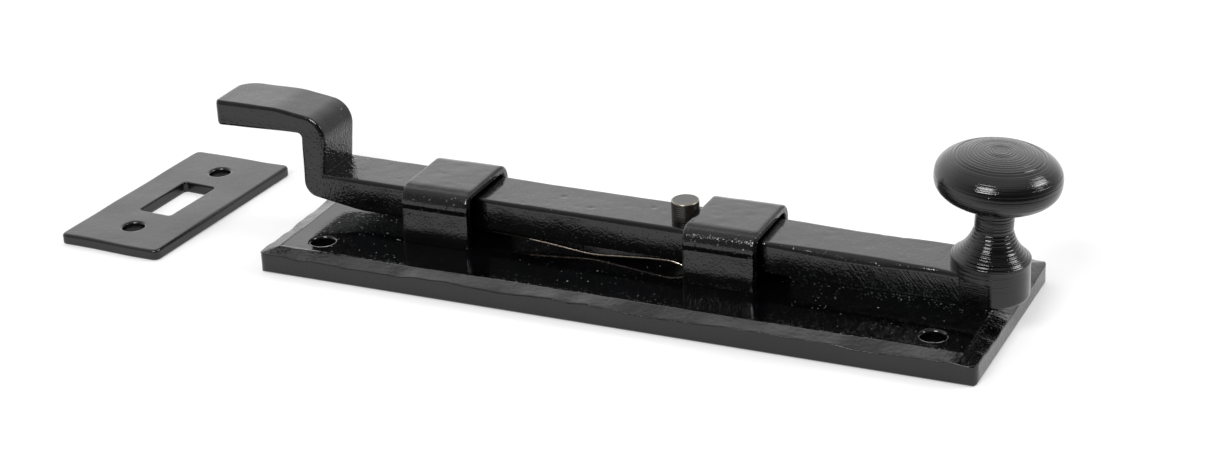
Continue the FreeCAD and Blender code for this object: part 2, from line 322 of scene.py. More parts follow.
def plate_sheet(lines_x, lines_y, openings, half, corner):
    """Plan of one face of a plate: points, quads, its outer loop, and each opening's inner loop.
    openings are (x, y, half block x, half block y, shape, size): the rim point of a block point
    comes from shape(offset x, offset y, size)."""
    index, points, quads, inner_loops = {}, [], [], []

    def blocked(x, y, margin):
        return any(
            abs(x - ox) < bx - margin and abs(y - oy) < by - margin for ox, oy, bx, by, *_ in openings
        )

    def loop_round(i0, i1, j0, j1):
        keys = [(i, j0) for i in range(i0, i1)] + [(i1, j) for j in range(j0, j1)]
        keys += [(i, j1) for i in range(i1, i0, -1)] + [(i0, j) for j in range(j1, j0, -1)]
        return [index[key] for key in keys]

    def nearest(lines, value):
        return int(np.argmin(abs(lines - value)))

    for j, y in enumerate(lines_y):
        for i, x in enumerate(lines_x):
            if not blocked(x, y, 1e-4):
                index[i, j] = len(points)
                points.append((x, y))
    for j in range(len(lines_y) - 1):
        for i in range(len(lines_x) - 1):
            if not blocked((lines_x[i] + lines_x[i + 1]) / 2, (lines_y[j] + lines_y[j + 1]) / 2, 0):
                quads.append((index[i, j], index[i + 1, j], index[i + 1, j + 1], index[i, j + 1]))
    outer = loop_round(0, len(lines_x) - 1, 0, len(lines_y) - 1)
    for ox, oy, bx, by, shape, size in openings:
        columns = [nearest(lines_x, x) for x in (ox - bx, ox + bx)]
        rows = [nearest(lines_y, y) for y in (oy - by, oy + by)]
        loop = loop_round(*columns, *rows)
        block = np.array([points[k] for k in loop])
        rim = np.array([shape(x - ox, y - oy, size) for x, y in block]) + (ox, oy)
        for share in (0.45, 0.8, 1.0):
            following = range(len(points), len(points) + len(loop))
            points.extend(block + (rim - block) * share)
            quads += band(loop, following)
            loop = following
        inner_loops.append(list(loop))
    return round_corners(np.array(points), half, corner), quads, outer, inner_loops


def round_rim(x, y, radius):
    """Point of a round opening in the direction of a block point."""
    length = math.hypot(x, y)
    return x * radius / length, y * radius / length


def to_radius(radius):
    """A pull of rim offsets to this radius, for plate_shell()."""
    return lambda offset: offset * radius / np.linalg.norm(offset, axis=1)[:, None]


def plate_shell(sheet, top_height, low_height, wall_shares, openings, rims):
    """Closes a plate: its face, its walls, its bores and its underside. top_height and low_height
    are Z over the plan, and wall_shares the rings down its outer wall. rims are each opening's
    (pull, drop) steps down its bore, where pull moves offsets from the opening's middle."""
    plan, quads, outer, inner_loops = sheet
    count = len(plan)
    top = np.column_stack([plan, top_height])
    low = np.column_stack([plan, low_height])
    points = [top, low]
    faces = quads + [tuple(k + count for k in reversed(quad)) for quad in quads]
    total = 2 * count

    def wall(loop, rings, outward):
        nonlocal total
        loops = [loop]
        for ring in rings:
            points.append(ring)
            loops.append(range(total, total + len(ring)))
            total += len(ring)
        loops.append([k + count for k in loop])
        for upper, lower in zip(loops, loops[1:]):
            for (a, b), (c, d) in zip(pairs(upper), pairs(lower)):
                faces.append((a, c, d, b) if outward else (b, d, c, a))

    wall(outer, [top[outer] + (low[outer] - top[outer]) * share for share in wall_shares], True)
    for loop, (x, y, *_), rim in zip(inner_loops, openings, rims):
        offset = top[loop, :2] - (x, y)
        rings = [np.column_stack([pull(offset) + (x, y), top[loop, 2] - drop]) for pull, drop in rim]
        wall(loop, rings, False)
        low[loop, :2] = rings[-1][:, :2]
    return np.vstack(points), faces


def edge_drop(distance, radius):
    """Fall of a rounded edge at this distance in from it."""
    inner = np.clip(radius - distance, 0, radius)
    return radius - np.sqrt(radius ** 2 - inner ** 2)


def from_edges(plan, half, corner):
    """Distance of each plan point in from the outline of a rectangle with rounded corners."""
    beyond = np.abs(plan) - (np.array(half) - corner)
    outside = np.linalg.norm(np.maximum(beyond, 0), axis=1)
    return corner - (outside + np.minimum(beyond.max(1), 0))


# ---------------------------------------------------------------- materials

def set_inputs(tree, node, values):
    """values are (input, number or socket) pairs."""
    for name, value in values:
        if isinstance(value, bpy.types.NodeSocket):
            tree.links.new(value, node.inputs[name])
        else:
            node.inputs[name].default_value = value


def add_node(tree, kind, values=(), **settings):
    """A new shader node of this kind with its inputs and settings."""
    node = tree.nodes.new("ShaderNode" + kind)
    for name, value in settings.items():
        setattr(node, name, value)
    set_inputs(tree, node, values)
    return node


def calculate(tree, operation, first, second=0.0):
    return add_node(tree, "Math", [(0, first), (1, second)], operation=operation).outputs[0]


def new_material(name):
    material = bpy.data.materials.new(name)
    material.use_nodes = True
    tree = material.node_tree
    place = add_node(tree, "TexCoord").outputs["Object"]
    return material, tree, tree.nodes["Principled BSDF"], place


def noise_node(tree, place, wavelength, detail=3.0, roughness=0.55):
    """Noise over the surface with features of this size in millimetres."""
    return add_node(tree, "TexNoise", [
        ("Vector", place), ("Scale", 1 / (wavelength * MM)), ("Detail", detail), ("Roughness", roughness),
    ]).outputs["Fac"]


def ramp(tree, value, stops):
    """Colour ramp from (position, grey or colour) stops."""
    node = add_node(tree, "ValToRGB", [("Fac", value)])
    elements = node.color_ramp.elements
    while len(elements) < len(stops):
        elements.new(0.5)
    for element, (position, colour) in zip(elements, stops):
        element.position = position
        element.color = ((colour,) * 3 if isinstance(colour, float) else tuple(colour)) + (1.0,)
    return node.outputs["Color"]


def bump(tree, shader, layers):
    """Chains bumps: layers are (height socket, height in millimetres)."""
    previous = []
    for height, depth in layers:
        values = [("Height", height), ("Strength", 1.0), ("Distance", depth * MM)]
        node = add_node(tree, "Bump", values + previous)
        previous = [("Normal", node.outputs["Normal"])]
    set_inputs(tree, shader, previous)


def between(tree, value, low, high):
    """0 at low, 1 at high, smooth between; the value is a coordinate in metres, the ends millimetres."""
    return add_node(tree, "MapRange", [
        ("Value", value), ("From Min", low * MM), ("From Max", high * MM),
    ], interpolation_type="SMOOTHSTEP").outputs["Result"]


def masked(tree, height, *ranges):
    """The height, faded in from low to high of each (coordinate, low, high)."""
    for coordinate, low, high in ranges:
        height = calculate(tree, "MULTIPLY", height, between(tree, coordinate, low, high))
    return height


def split(tree, place):
    return add_node(tree, "SeparateXYZ", [("Vector", place)]).outputs


def pinholes(tree, place, size, share, width=0.11):
    """1 on the surface and falling to 0 in scattered round pits: a share of cells this size hold one."""
    cells = add_node(tree, "TexVoronoi", [("Vector", place), ("Scale", 1 / (size * MM))])
    wall = ramp(tree, cells.outputs["Distance"], [(0.0, 0.0), (width, 1.0)])
    draw = add_node(tree, "SeparateColor", [("Color", cells.outputs["Color"])]).outputs[0]
    return calculate(tree, "MAXIMUM", wall, calculate(tree, "GREATER_THAN", draw, share))


def turning_marks(axis_lean, spacing):
    """Height of the fine uneven rings that a turning tool leaves round the knob's leaning axis."""
    def marks(tree, place):
        moved = add_node(tree, "Mapping", [
            ("Vector", place),
            ("Location", (KNOB_X * MM, SKEW_OFFSET * MM, BAR_TOP * MM)),
            ("Rotation", (0.0, axis_lean, -BAR_SKEW)),
        ], vector_type="TEXTURE")
        x, y, z = split(tree, moved.outputs["Vector"])
        squares = [calculate(tree, "MULTIPLY", side, side) for side in (x, y)]
        radius = calculate(tree, "SQRT", calculate(tree, "ADD", *squares))
        flat = add_node(tree, "CombineXYZ", [(0, radius), (2, z)])
        return noise_node(tree, flat.outputs[0], spacing, roughness=0.7)

    return marks


def ground_marks(tree, place):
    """Slanting scratches of the grinding wheel on the bar's side, short of the knob."""
    slant = add_node(tree, "Mapping", [("Vector", place), ("Rotation", (0.0, math.radians(38.0), 0.0))])
    drawn = add_node(tree, "Mapping", [("Vector", slant.outputs["Vector"]), ("Scale", (1.0, 1.0, 0.07))])
    scratches = noise_node(tree, drawn.outputs["Vector"], 0.62, detail=2.0, roughness=0.6)
    x, y, z = split(tree, place)
    return masked(tree, scratches, (x, 52.0, 66.0), (y, -7.0, -7.6), (z, 18.4, 17.2))


def enamel(name, gloss, grain, pits, tint=BLACK, seed=0.0, share=0.35, extra=()):
    """Black stoved enamel over forged steel. gloss is its mean roughness, grain the height of its
    fine orange peel and pits the depth of its pinholes, both in millimetres. seed varies the sizes
    of its clouds, and extra holds (height function, height) pairs for a piece's own marks."""
    material, tree, shader, place = new_material(name)
    cloud = noise_node(tree, place, 9.0 + seed, detail=4.0)
    smear = noise_node(tree, place, 2.2 + seed, detail=5.0, roughness=0.65)
    worn = tuple(channel * 2.6 for channel in tint)
    set_inputs(tree, shader, [
        ("Base Color", ramp(tree, cloud, [(0.35, tint), (0.75, worn)])),
        ("Roughness", ramp(tree, smear, [(0.3, gloss * 0.75), (0.7, gloss * 1.35)])),
        ("IOR", 1.5),
    ])
    dimples = noise_node(tree, place, 2.6, detail=2.0)
    peel = noise_node(tree, place, 0.7, detail=2.0)
    layers = [
        (dimples, grain * 1.3),
        (peel, grain),
        (pinholes(tree, place, 0.8, 0.5, width=0.3), grain * 1.5),
        (pinholes(tree, place, 1.7, share), pits),
        (pinholes(tree, place, 4.3, share * 0.7, width=0.08), pits * 1.6),
    ]
    bump(tree, shader, layers + [(marks(tree, place), height) for marks, height in extra])
    return material


def crank_scale(tree, place):
    """Scale on the leg of the crank and in its inner corner, where the bar was bent hot."""
    x, y, z = split(tree, place)
    coarse = noise_node(tree, place, 0.8, detail=2.0, roughness=0.6)
    pocks = pinholes(tree, place, 1.0, 0.75, width=0.34)
    scale = calculate(tree, "ADD", coarse, pocks)
    return masked(tree, scale, (x, -82.0, -90.0), (y, -7.9, -7.3), (z, 33.5, 28.0))


def bend_scale(tree, place):
    """Scale in the bends of the staples and just under them."""
    z = split(tree, place)[2]
    faint = calculate(tree, "MULTIPLY", noise_node(tree, place, 0.7, detail=2.0), 0.3)
    pocks = pinholes(tree, place, 1.25, 0.45, width=0.3)
    return masked(tree, calculate(tree, "ADD", faint, pocks), (z, 15.8, 17.4), (z, 21.8, 21.0))


def bevel_scale(tree, place):
    """Hammer marks along the bevel of the backplate and down its edges."""
    sides = [
        between(tree, calculate(tree, "ABSOLUTE", side), half - BEVEL_INSET - 0.7, half - BEVEL_INSET + 0.1)
        for side, half in zip(split(tree, place), PLATE_HIGH[:2])
    ]
    coarse = noise_node(tree, place, 1.2, detail=4.0, roughness=0.6)
    return calculate(tree, "MULTIPLY", coarse, calculate(tree, "MAXIMUM", *sides))


def side_ripple(tree, place):
    """Fine ripple on the forged sides, left by the scale under the enamel."""
    fine = noise_node(tree, place, 0.6, detail=2.0, roughness=0.6)
    return masked(tree, fine, (split(tree, place)[2], 17.6, 15.0))


def worn_steel(name, tint, gloss):
    """Bright or blued steel with fine marks."""
    material, tree, shader, place = new_material(name)
    cloud = noise_node(tree, place, 2.5, detail=5.0, roughness=0.7)
    smear = noise_node(tree, place, 0.9, detail=4.0)
    dark = tuple(channel * 0.6 for channel in tint)
    set_inputs(tree, shader, [
        ("Base Color", ramp(tree, cloud, [(0.3, dark), (0.7, tint)])),
        ("Roughness", ramp(tree, smear, [(0.3, gloss * 0.8), (0.7, gloss * 1.3)])),
        ("Metallic", 1.0),
    ])
    bump(tree, shader, [(noise_node(tree, place, 0.3), 0.006)])
    return material


PLATE_ENAMEL = enamel("plate_black", 0.07, 0.016, 0.07, share=0.45, extra=[(bevel_scale, 0.15)])
STAPLE_ENAMEL = enamel("staple_black", 0.09, 0.022, 0.06, seed=1.3, extra=[
    (bend_scale, 0.24), (side_ripple, 0.06),
])
BAR_ENAMEL = enamel("bar_black", 0.10, 0.026, 0.07, seed=2.1, extra=[
    (crank_scale, 0.15), (side_ripple, 0.055), (ground_marks, 0.08),
])
KNOB_ENAMEL = enamel("knob_black", 0.075, 0.014, 0.03, seed=3.7, share=0.7, extra=[
    (turning_marks(KNOB_LEAN, 0.8), 0.2),
])
ROUND_END_ENAMEL = enamel("round_end_black", 0.1, 0.012, 0.03, seed=2.6, extra=[
    (turning_marks(0.0, 0.5), 0.055),
])
KEEP_ENAMEL = enamel("keep_black", 0.2, 0.025, 0.04, seed=4.9)
PIN_STEEL = enamel("pin_black", 0.24, 0.012, 0.03, tint=(0.008, 0.007, 0.0055), seed=5.7)
PIN_RIM = worn_steel("pin_worn_rim", (0.3, 0.27, 0.22), 0.3)
SPRING_STEEL = worn_steel("spring_blued", (0.045, 0.04, 0.035), 0.3)
SPRING_EDGE = worn_steel("spring_sheared_edge", (0.62, 0.54, 0.45), 0.25)


# ---------------------------------------------------------------- the plate and its staples

def make_backplate():
    half = PLATE_HIGH[:2]
    block = 5.4
    openings = [
        (x, y, block, block, round_rim, SCREW_HOLE_RADIUS + HOLE_EASE)
        for x in (-SCREW_HOLE_X, SCREW_HOLE_X) for y in (-SCREW_HOLE_Y, SCREW_HOLE_Y)
    ]
    insets = [0.0, 0.03, 0.09, 0.18, 0.4] + [BEVEL_INSET + offset for offset in (-0.5, -0.2, 0.0, 0.2, 0.5)]

    def lines(extent, hole):
        return spaced(mirrored([inset - extent for inset in insets] + [-hole - block, block - hole]), 0.9)

    lines_x, lines_y = lines(half[0], SCREW_HOLE_X), lines(half[1], SCREW_HOLE_Y)
    sheet = plate_sheet(lines_x, lines_y, openings, half, PLATE_CORNER)
    plan = sheet[0]
    away = half - np.abs(plan)
    inset = away.min(1)
    near_end = away[:, 0] < away[:, 1]
    along = np.where(near_end, plan[:, 1], plan[:, 0] + 300)
    off_corner = np.clip(np.abs(away[:, 0] - away[:, 1]) / 6.0, 0, 1)
    near_crease = np.clip(1 - np.abs(inset - BEVEL_INSET) / 4.0, 0, 1) * np.clip(inset / BEVEL_INSET, 0, 1)
    wander = 0.75 * swell_along(along, 17.0, 3) + 0.3 * swell_along(along, 6.0, 4)
    wander *= near_crease * off_corner
    plan[:, 0] -= np.where(near_end, np.sign(plan[:, 0]) * wander, 0)
    plan[:, 1] -= np.where(near_end, 0, np.sign(plan[:, 1]) * wander)
    unevenness = 0.75 * swell_along(along, 14.0, 6) + 0.35 * swell_along(along, 5.0, 7)
    drop = BEVEL_DROP * (1 + off_corner * unevenness) * np.clip(1 - inset / BEVEL_INSET, 0, 1)
    raised = 0.014 * np.clip(np.abs(plan[:, 1]) - 14.0, 0, 11.5)
    top_height = PLATE_TOP + raised - drop - edge_drop(inset, 0.25)
    rim = [
        (to_radius(SCREW_HOLE_RADIUS + grow), depth)
        for grow, depth in ((0.42, 0.1), (0.2, 0.32), (0.06, 0.6), (0.0, 1.0), (0.0, 3.2), (0.0, 5.6))
    ]
    wall_shares = (0.12, 0.3, 0.5, 0.7, 0.88)
    points, faces = plate_shell(sheet, top_height, edge_drop(inset, 0.7), wall_shares, openings, [rim] * 4)
    piece = make_piece(
        "backplate_forged", points, faces, "plate", ["backplate"], PLATE_ENAMEL
    )
    dents = scattered_dents(11, 70, (-98, 98), (-29, 29), PLATE_TOP, (1.2, 2.6), (0.01, 0.035))
    weather(piece, [(38.0, 0.12), (13.0, 0.05), (5.0, 0.016)], 21, dents, where=above_table)


def above_table(points):
    """Keeps the underside true: nothing at Z = 0, everything from 1 mm up."""
    return np.clip(points[:, 2] - 0.4, 0, 1)


def make_staple(name, seed):
    low, high = box_mm(name)
    width = high[0] - low[0]
    middle_x = (low[0] + high[0]) / 2
    outer, top = high[1:]
    foot = PLATE_TOP - STRAP_SINK

    def side_view(inset):
        """Line of the strap from foot to foot, this far in from its outside."""
        side, up, bend = outer - inset, top - inset, STAPLE_BEND - inset
        corners = [(-side, foot, 0), (-side, up, bend), (side, up, bend), (side, foot, 0)]
        return path(corners, (12, 12, 26, 12, 12))

    inside, outside = side_view(STAPLE_STRAP), side_view(0.0)
    swelling = 0.55 * np.exp(-(((outside[:, 1] - 8.5) / 4.0) ** 2))
    outside[:, 0] += np.sign(outside[:, 0]) * swelling
    rings = []
    for a, b in zip(inside, outside):
        depth = np.linalg.norm(b - a)
        up = (b - a) / depth
        section = rounded_ring(-width / 2, width / 2, depth, 0.55, 24, 3)
        rings.append([(middle_x + s[0], a[0] + up[0] * s[1], a[1] + up[1] * s[1]) for s in section])
    points, faces = loft(capped(rings))
    for side in (-1, 1):
        tenon_points, tenon_faces = tenon_end(middle_x, side * (outer - STAPLE_STRAP / 2))
        faces += [tuple(k + len(points) for k in face) for face in tenon_faces]
        points = np.vstack([points, tenon_points])
    piece = make_piece(name + "_strap", points, faces, "plate", [name], STAPLE_ENAMEL)
    dents = scattered_dents(seed, 26, (low[0], high[0]), (-outer, outer), top, (0.8, 1.6), (0.02, 0.08))
    weather(piece, [(14.0, 0.14), (4.5, 0.05), (1.6, 0.018)], seed, dents, where=above_table)


def tenon_end(x, y):
    """Riveted end of a staple's tenon, just proud of the backplate's underside."""
    rings = []
    for z, grow in ((1.5, 0.0), (0.1, 0.0), (-0.08, -0.1), (-0.14, -0.4)):
        half_x = TENON_WIDTH / 2 + grow
        half_y = STAPLE_STRAP / 2 + grow
        outline = path([
            (0, -half_y, 0), (half_x, -half_y, 0.5), (half_x, half_y, 0.5),
            (-half_x, half_y, 0.5), (-half_x, -half_y, 0.5), (0, -half_y, 0),
        ], (6, 3, 2, 3, 12, 3, 2, 3, 6))[:-1]
        rings.append([(x + px, y + py, z) for px, py in outline])
    return loft([[(x, y, 1.5)]] + rings + [[(x, y, -0.15)]], flipped=True)


# ---------------------------------------------------------------- the bolt

def bar_section(front, back, depth, chamfer, lean, low_edge):
    """(across, up) points round the bar: flat underside, sides that lean in towards the top,
    a chamfer with a fine crease at its foot along the front, and a softer one along the back."""
    quarter = [math.pi / 2 * k / 5 for k in range(6)]
    foot = depth - chamfer

    def front_side(up):
        return -front + lean * (max(0.0, up / depth - 0.3) / 0.7) ** 1.4

    low_front, low_back = front - low_edge, back - low_edge
    ring = [(-low_front * k / 10, 0.0) for k in range(10)]
    ring += [(-low_front - low_edge * math.sin(a), low_edge * (1 - math.cos(a))) for a in quarter]
    heights = [low_edge + (foot - 0.3 - low_edge) * k / 14 for k in range(1, 15)]
    ring += [(front_side(up), up) for up in heights]
    side = front_side(foot)
    ring += [(side + 0.07, foot - 0.12), (side + 0.10, foot + 0.02)]
    start = side + 0.06
    ring += [(start + chamfer * k / 5, foot + chamfer * math.sin(quarter[k]) ** 0.9) for k in range(1, 6)]
    start += chamfer
    back_side = back - lean * 0.6
    end = back_side - chamfer
    ring += [(start + (end - start) * k / 29, depth) for k in range(1, 30)]
    ring += [(end + chamfer * math.sin(a), depth - chamfer * (1 - math.cos(a))) for a in quarter[1:]]
    ring += [(back_side + (back - back_side) * k / 8, foot + (low_edge - foot) * k / 8) for k in range(1, 9)]
    ring += [(low_back + low_edge * math.cos(a), low_edge * (1 - math.sin(a))) for a in quarter[1:]]
    return ring + [(low_back * (1 - k / 10), 0.0) for k in range(1, 10)]


def front_swelling(x):
    """How far the bar's front side stands out past its plain width where it widens towards the knob."""
    return 1.4 * (np.maximum(x - 84.0, 0.0) / 14.0) ** 1.2


def make_bar():
    counts = (44, 4, 20, 14, 26, 14, 14, 10, 330)
    bar_end = KNOB_X + 2.0
    outer_line = path([
        (TIP_END, TIP_BOTTOM, 0),
        (CRANK_OUTER - 6.2, TIP_BOTTOM + 0.8, 2.0),
        (CRANK_OUTER + 0.5, TIP_BOTTOM + 1.0, 1.2),
        (CRANK_OUTER, CRANK_KNEE, 4.2),
        (SHANK_BEND, BAR_BOTTOM, 30.0),
        (bar_end, BAR_BOTTOM + 0.6, 0),
    ], counts)
    inner_line = path([
        (TIP_END, TIP_TOP, 0),
        (CRANK_OUTER - 7.0, TIP_TOP + 0.1, 24.0),
        (CRANK_INNER + 0.7, TIP_TOP - 2.1, 6.4),
        (CRANK_INNER - 1.1, BAR_TOP, 0.1),
        (SHANK_BEND + 2, BAR_TOP, 30.0),
        (bar_end, BAR_TOP, 0),
    ], counts)
    wander = swell_along(outer_line[:, 0], 16.0, 31)
    shimmer = swell_along(outer_line[:, 0], 5.0, 32)
    rings = []
    for a, b, slow, quick in zip(outer_line, inner_line, wander, shimmer):
        x = (a[0] + b[0]) / 2
        depth = np.linalg.norm(b - a)
        up = (b - a) / depth
        from_end = x - TIP_END
        squeeze = edge_drop(from_end, 1.1)
        front = BAR_SIDE - 0.1 - edge_drop(from_end, 1.6) + front_swelling(x)
        back = BAR_SIDE + 0.25 - edge_drop(from_end, 6.8)
        chamfer = 0.62 + 0.16 * slow + 0.08 * quick + 0.95 * math.exp(-((x - 62.0) / 15.0) ** 2)
        lean = 0.13 + 0.12 * slow + 0.3 * math.exp(-((x - 8.0) / 15.0) ** 2)
        lean -= 0.12 * min(1.0, max(0.0, (x - 50.0) / 15.0))
        ring = []
        for across, height in bar_section(front, back, depth - 2 * squeeze, chamfer, lean, 1.1):
            height += squeeze
            ring.append((a[0] + up[0] * height, across, a[1] + up[1] * height))
        rings.append(ring)
    rings = capped(rings)
    rings[0] = [tuple(np.array(rings[0][0]) - (0.35, 0, 0))]
    points, faces = loft(rings, flipped=True)
    radius = np.hypot(points[:, 0] - KNOB_X, points[:, 1])
    grooved = (points[:, 2] > BAR_TOP - 0.1) & (radius > 10.2) & (radius < 13.4)
    points[:, 2] -= np.where(grooved, 0.045 * (1 + ripple(radius, 0.85)), 0)
    piece = make_piece("bolt_bar_forged", lay(points), faces, "bolt", ["bolt_bar"], BAR_ENAMEL)
    dents = [
        (-24.0, 2.0, BAR_TOP, 1.3, 0.17), (-14.0, -2.5, BAR_TOP, 1.2, 0.17), (2.0, 3.0, BAR_TOP, 1.2, 0.14),
    ]
    dents += scattered_dents(5, 60, (-90, 84), (-7, 7), BAR_TOP, (0.8, 1.8), (0.015, 0.07))
    weather(piece, [(26.0, 0.12), (9.0, 0.06), (3.2, 0.025)], 41, dents)


def make_round_end():
    """Turned round end of the bar under the knob, ground flat at the front where the bar's side runs in."""
    radius = KNOB_BASE_RADIUS
    profile = [(0, ROUND_END_BOTTOM), (4.0, ROUND_END_BOTTOM), (8.0, ROUND_END_BOTTOM)]
    for k in range(6):
        angle = math.pi / 2 * k / 5
        profile.append((radius - 1.1 * (1 - math.sin(angle)), ROUND_END_BOTTOM + 1.1 * (1 - math.cos(angle))))
    height = ROUND_END_BOTTOM + 1.3
    while height < BAR_TOP:
        profile.append((radius + 0.012 * ripple(height, 0.55), height))
        height += 0.12
    profile += [(radius, BAR_TOP), (6.0, BAR_TOP), (0, BAR_TOP)]
    points, faces = loft(turned(profile, 144))
    flat = -(BAR_SIDE - 0.1 + front_swelling(points[:, 0] + KNOB_X)) - 0.02
    ground = (points[:, 0] < 3.0) & (points[:, 1] < flat)
    points[:, 1] = np.where(ground, flat, points[:, 1])
    points[:, 0] += KNOB_X
    piece = make_piece("bolt_round_end", lay(points), faces, "bolt", [], ROUND_END_ENAMEL)
    weather(piece, [(9.0, 0.02)], 51)


def arc_through(start, middle, end, steps):
    """Points along the circular arc from start through middle to end."""
    (ax, ay), (bx, by), (cx, cy) = start, middle, end
    d = 2 * (ax * (by - cy) + bx * (cy - ay) + cx * (ay - by))
    a, b, c = ax * ax + ay * ay, bx * bx + by * by, cx * cx + cy * cy
    ux = (a * (by - cy) + b * (cy - ay) + c * (ay - by)) / d
    uy = (a * (cx - bx) + b * (ax - cx) + c * (bx - ax)) / d
    radius = math.hypot(ax - ux, ay - uy)
    first = math.atan2(ay - uy, ax - ux)
    last = math.atan2(cy - uy, cx - ux)
    turn = (last - first + math.pi) % (2 * math.pi) - math.pi
    angles = [first + turn * k / steps for k in range(steps + 1)]
    return [(ux + radius * math.cos(angle), uy + radius * math.sin(angle)) for angle in angles]


def knob_profile():
    """(radius, height above the bar) of the knob from its tucked base to its crown, close enough
    together to hold the marks that the turning tool left."""
    profile = [(0.0, -1.6), (KNOB_BASE_RADIUS - 0.6, -1.6)]
    step = 0.13
    for height in np.arange(-1.5, KNOB_BASE_HEIGHT, step):
        profile.append((KNOB_BASE_RADIUS + 0.012 * ripple(height, 0.55), height))
    flare_top = KNOB_BASE_HEIGHT + KNOB_FLARE_HEIGHT
    flare_steps = 90
    flare = arc_through(
        (KNOB_BASE_RADIUS, KNOB_BASE_HEIGHT),
        (KNOB_NECK_RADIUS + 1.85, KNOB_BASE_HEIGHT + 0.44 * KNOB_FLARE_HEIGHT),
        (KNOB_NECK_RADIUS, flare_top),
        flare_steps,
    )
    for k, (radius, height) in enumerate(flare):
        groove = 0.035 * ripple(k / flare_steps, 0.1)
        profile.append((radius + groove, height + groove))
    power = 2 / KNOB_FULLNESS
    join_flare = 0.9
    join_angle = math.acos(((KNOB_NECK_RADIUS + join_flare) / KNOB_HEAD_RADIUS) ** (1 / power))
    neck_top = KNOB_EQUATOR - KNOB_UNDERCUT * math.sin(join_angle) ** power - join_flare
    for height in np.arange(flare_top + step, neck_top, step):
        profile.append((KNOB_NECK_RADIUS + 0.03 * ripple(height, 0.8), height))
    for share in (k / 6 for k in range(1, 6)):
        profile.append((KNOB_NECK_RADIUS + join_flare * share ** 1.6, neck_top + join_flare * share))
    under_steps = 170
    for k in range(under_steps + 1):
        angle = join_angle * (1 - k / under_steps)
        radius = KNOB_HEAD_RADIUS * math.cos(angle) ** power
        height = KNOB_EQUATOR - KNOB_UNDERCUT * math.sin(angle) ** power
        profile.append((radius + 0.01 * ripple(radius, 0.8), height))
    ringed_radius = 12.4
    spread = np.arange(0.0, ringed_radius + 1.0, 0.5)
    unevenness = swell_along(spread, 2.2, 65)
    last_angle = math.acos((ringed_radius / KNOB_HEAD_RADIUS) ** (1 / power))
    angles = [last_angle * k / 90 for k in range(1, 90)]
    for radius in np.arange(ringed_radius, 0.05, -step):
        angles.append(math.acos((radius / KNOB_HEAD_RADIUS) ** (1 / power)))
    for angle in angles + [math.pi / 2]:
        radius = KNOB_HEAD_RADIUS * max(math.cos(angle), 0.0) ** power
        height = KNOB_EQUATOR + KNOB_DOME * math.sin(angle) ** power
        if radius < 12.3:
            strength = 0.014 + 0.045 * abs(np.interp(radius, spread, unevenness))
            height += strength * ripple(radius, 0.85)
        for line in (10.9, 12.0):
            height -= 0.09 * math.exp(-((radius - line) / 0.16) ** 2)
        profile.append((radius, height))
    profile[-1] = (0.0, profile[-1][1])
    return profile


def make_knob():
    points, faces = loft(turned(knob_profile(), 160))
    c, s = math.cos(KNOB_LEAN), math.sin(KNOB_LEAN)
    x = points[:, 0] * c + points[:, 2] * s + KNOB_X
    z = -points[:, 0] * s + points[:, 2] * c + BAR_TOP
    points = lay(np.stack([x, points[:, 1], z], 1))
    piece = make_piece("knob_turned", points, faces, "bolt", ["knob"], KNOB_ENAMEL)
    weather(piece, [(11.0, 0.03), (4.0, 0.006)], 61)


def make_pin():
    radius = (PIN_HIGH[0] - PIN_LOW[0]) / 2
    middle_x, middle_y = (PIN_LOW[:2] + PIN_HIGH[:2]) / 2
    top = PIN_HIGH[2]
    ease = 0.38
    profile = [(0.0, BAR_TOP - 1.0), (radius, BAR_TOP - 1.0)]
    for height in np.arange(BAR_TOP - 0.8, top - 0.4, 0.15):
        profile.append((radius + 0.015 * ripple(height, 0.6), height))
    for k in range(6):
        angle = math.pi / 2 * k / 5
        profile.append((radius - ease * (1 - math.cos(angle)), top - ease * (1 - math.sin(angle))))
    for distance in np.arange(radius - ease - 0.15, 0.2, -0.15):
        profile.append((distance, top + 0.008 * ripple(distance, 0.7)))
    profile.append((0.0, top))
    points, faces = loft(turned(profile, 96))
    points += (middle_x, middle_y, 0.0)
    piece = make_piece("stop_pin_turned", points, faces, "bolt", ["stop_pin"], PIN_STEEL)

    def on_rim(x, y, z):
        return math.hypot(x - middle_x, y - middle_y) > radius - ease and z > top - 0.3

    paint(piece, points, PIN_RIM, on_rim)
    weather(piece, [(3.0, 0.008)], 71)


def spring_middle_line():
    """Middle line of the spring in side view, as a smooth curve through its few shaping points."""
    flat = BAR_BOTTOM - SPRING_THICKNESS / 2
    belly = PLATE_TOP + SPRING_GAP + SPRING_THICKNESS / 2
    knots = np.array([
        (SPRING_LEFT, flat), (-56.0, flat), (-50.0, flat), (-42.0, flat - 0.15), (-33.0, flat - 0.55),
        (-24.0, belly + 0.95), (-12.5, belly), (-3.0, belly + 0.75), (6.0, belly + 1.5),
        (11.0, belly + 1.55), (14.5, belly + 0.7),
    ])
    slopes = np.gradient(knots[:, 1], knots[:, 0])
    points = []
    for k in range(len(knots) - 1):
        (x0, z0), (x1, z1) = knots[k], knots[k + 1]
        width = x1 - x0
        rise0, rise1 = width * slopes[k], width * slopes[k + 1]
        for share in np.arange(0, 1, 0.1):
            square, cube = share ** 2, share ** 3
            from_first = (2 * cube - 3 * square + 1) * z0 + (cube - 2 * square + share) * rise0
            from_second = (3 * square - 2 * cube) * z1 + (cube - square) * rise1
            points.append((x0 + width * share, from_first + from_second))
    points.append(tuple(knots[-1]))
    return np.array(points)


